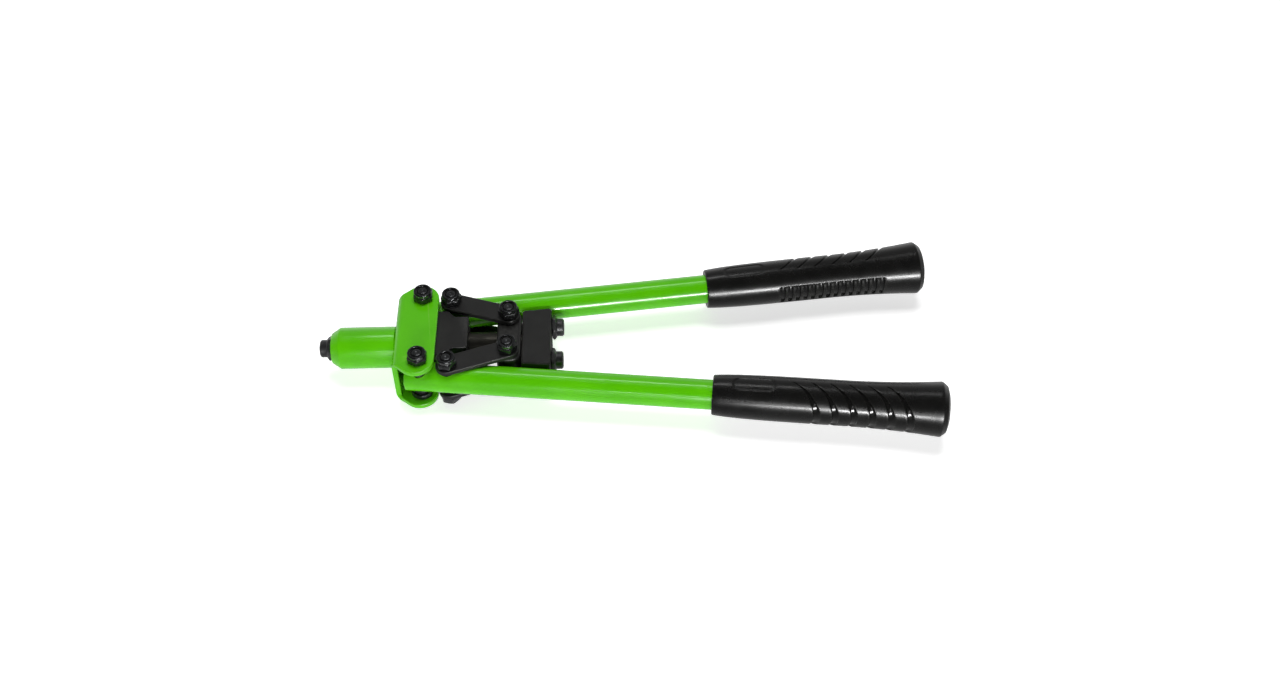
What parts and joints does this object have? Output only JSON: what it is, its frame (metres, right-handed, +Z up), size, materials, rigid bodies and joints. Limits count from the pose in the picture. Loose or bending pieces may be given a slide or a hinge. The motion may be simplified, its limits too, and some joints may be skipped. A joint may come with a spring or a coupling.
{
  "type": "hand riveter",
  "caption": "Two-handed long-arm lever hand riveter with a green barrel, yoke and lever tubes, black links, crosshead and rubber grips, lying flat with its handles closed.",
  "frame": {"origin": "bottom centre of the bounding box of the tool lying flat with its handles closed: under the pulling axis, halfway along the tool, level with the undersides of the two lever pivot bolt heads", "axes": "+X along the pulling axis from the nose to the handles, +Y towards the far lever, +Z up, parallel to the pivot bolts"},
  "size_m": [0.3334, 0.133, 0.0394],
  "materials": {
    "green_paint": "gloss lime green powder coat",
    "black_paint": "satin black",
    "black_oxide": "black oxide, semi-gloss",
    "nose_steel": "hardened and blackened steel",
    "oiled_steel": "dark oiled steel",
    "grip_rubber": "semi-gloss moulded black",
    "bright_steel": "bright turned steel"
  },
  "bodies": {
    "head": {"barrel": "green_paint", "yoke": "green_paint", "guide_block": "black_paint", "nosepiece_fitted": "nose_steel", "lever_pivot_bolt_far": "black_oxide", "lever_pivot_bolt_near": "black_oxide", "lever_pivot_nut_far": "black_oxide", "lever_pivot_nut_near": "black_oxide"},
    "lever_far": {"lever_tube_far": "green_paint", "grip_far": "grip_rubber", "pivot_bush_far": "black_oxide", "link_bush_far": "black_oxide", "spacer_far_top": "black_oxide", "spacer_far_bottom": "black_oxide"},
    "lever_near": {"lever_tube_near": "green_paint", "grip_near": "grip_rubber", "pivot_bush_near": "black_oxide", "link_bush_near": "black_oxide", "spacer_near_top": "black_oxide", "spacer_near_bottom": "black_oxide"},
    "links_far": {"link_plate_far_top": "black_paint", "link_plate_far_bottom": "black_paint", "link_bolt_far": "black_oxide", "link_nut_far": "black_oxide", "crosshead_bolt_far": "black_oxide", "crosshead_nut_far": "black_oxide"},
    "links_near": {"link_plate_near_top": "black_paint", "link_plate_near_bottom": "black_paint", "link_bolt_near": "black_oxide", "link_nut_near": "black_oxide", "crosshead_bolt_near": "black_oxide", "crosshead_nut_near": "black_oxide"},
    "puller": {"crosshead": "black_paint", "nose_holder": "black_paint", "pull_tube": "oiled_steel", "jaw_case": "bright_steel", "jaw_spring": "bright_steel", "nosepiece_spare_far": "nose_steel", "nosepiece_spare_near": "nose_steel"},
    "jaw_set": {"jaw_a": "bright_steel", "jaw_b": "bright_steel", "jaw_c": "bright_steel", "jaw_pusher": "bright_steel"}
  },
  "joints": [
    {"name": "lever_far_pivot", "type": "hinge", "parent": "head", "child": "lever_far", "pos_m": [-0.11119, 0.0225, 0.0188], "axis": [0, 0, 1], "range_deg": [0, 50]},
    {"name": "lever_near_pivot", "type": "hinge", "parent": "head", "child": "lever_near", "pos_m": [-0.11119, -0.0225, 0.0188], "axis": [0, 0, -1], "range_deg": [0, 50]},
    {"name": "links_far_pivot", "type": "hinge", "parent": "lever_far", "child": "links_far", "pos_m": [-0.09627, 0.0231, 0.0188], "axis": [0, 0, -1], "range_deg": [0, 73]},
    {"name": "links_near_pivot", "type": "hinge", "parent": "lever_near", "child": "links_near", "pos_m": [-0.09627, -0.0231, 0.0188], "axis": [0, 0, 1], "range_deg": [0, 73]},
    {"name": "puller_slide", "type": "slide", "parent": "head", "child": "puller", "axis": [-1, 0, 0], "range_m": [0, 0.0113]},
    {"name": "jaw_set_slide", "type": "slide", "parent": "puller", "child": "jaw_set", "axis": [1, 0, 0], "range_m": [0, 0.00201], "deforming": ["jaw_spring"]}
  ],
  "couplings": [
    {"joint": "lever_near_pivot", "follows": "lever_far_pivot", "ratio": 1},
    {"joint": "links_far_pivot", "follows": "lever_far_pivot", "ratio": 1.455},
    {"joint": "links_near_pivot", "follows": "lever_far_pivot", "ratio": 1.455},
    {"joint": "puller_slide", "follows": "lever_far_pivot", "m_per_rad": 0.012892},
    {"joint": "jaw_set_slide", "follows": "lever_far_pivot", "m_per_rad": 0.0022918}
  ]
}
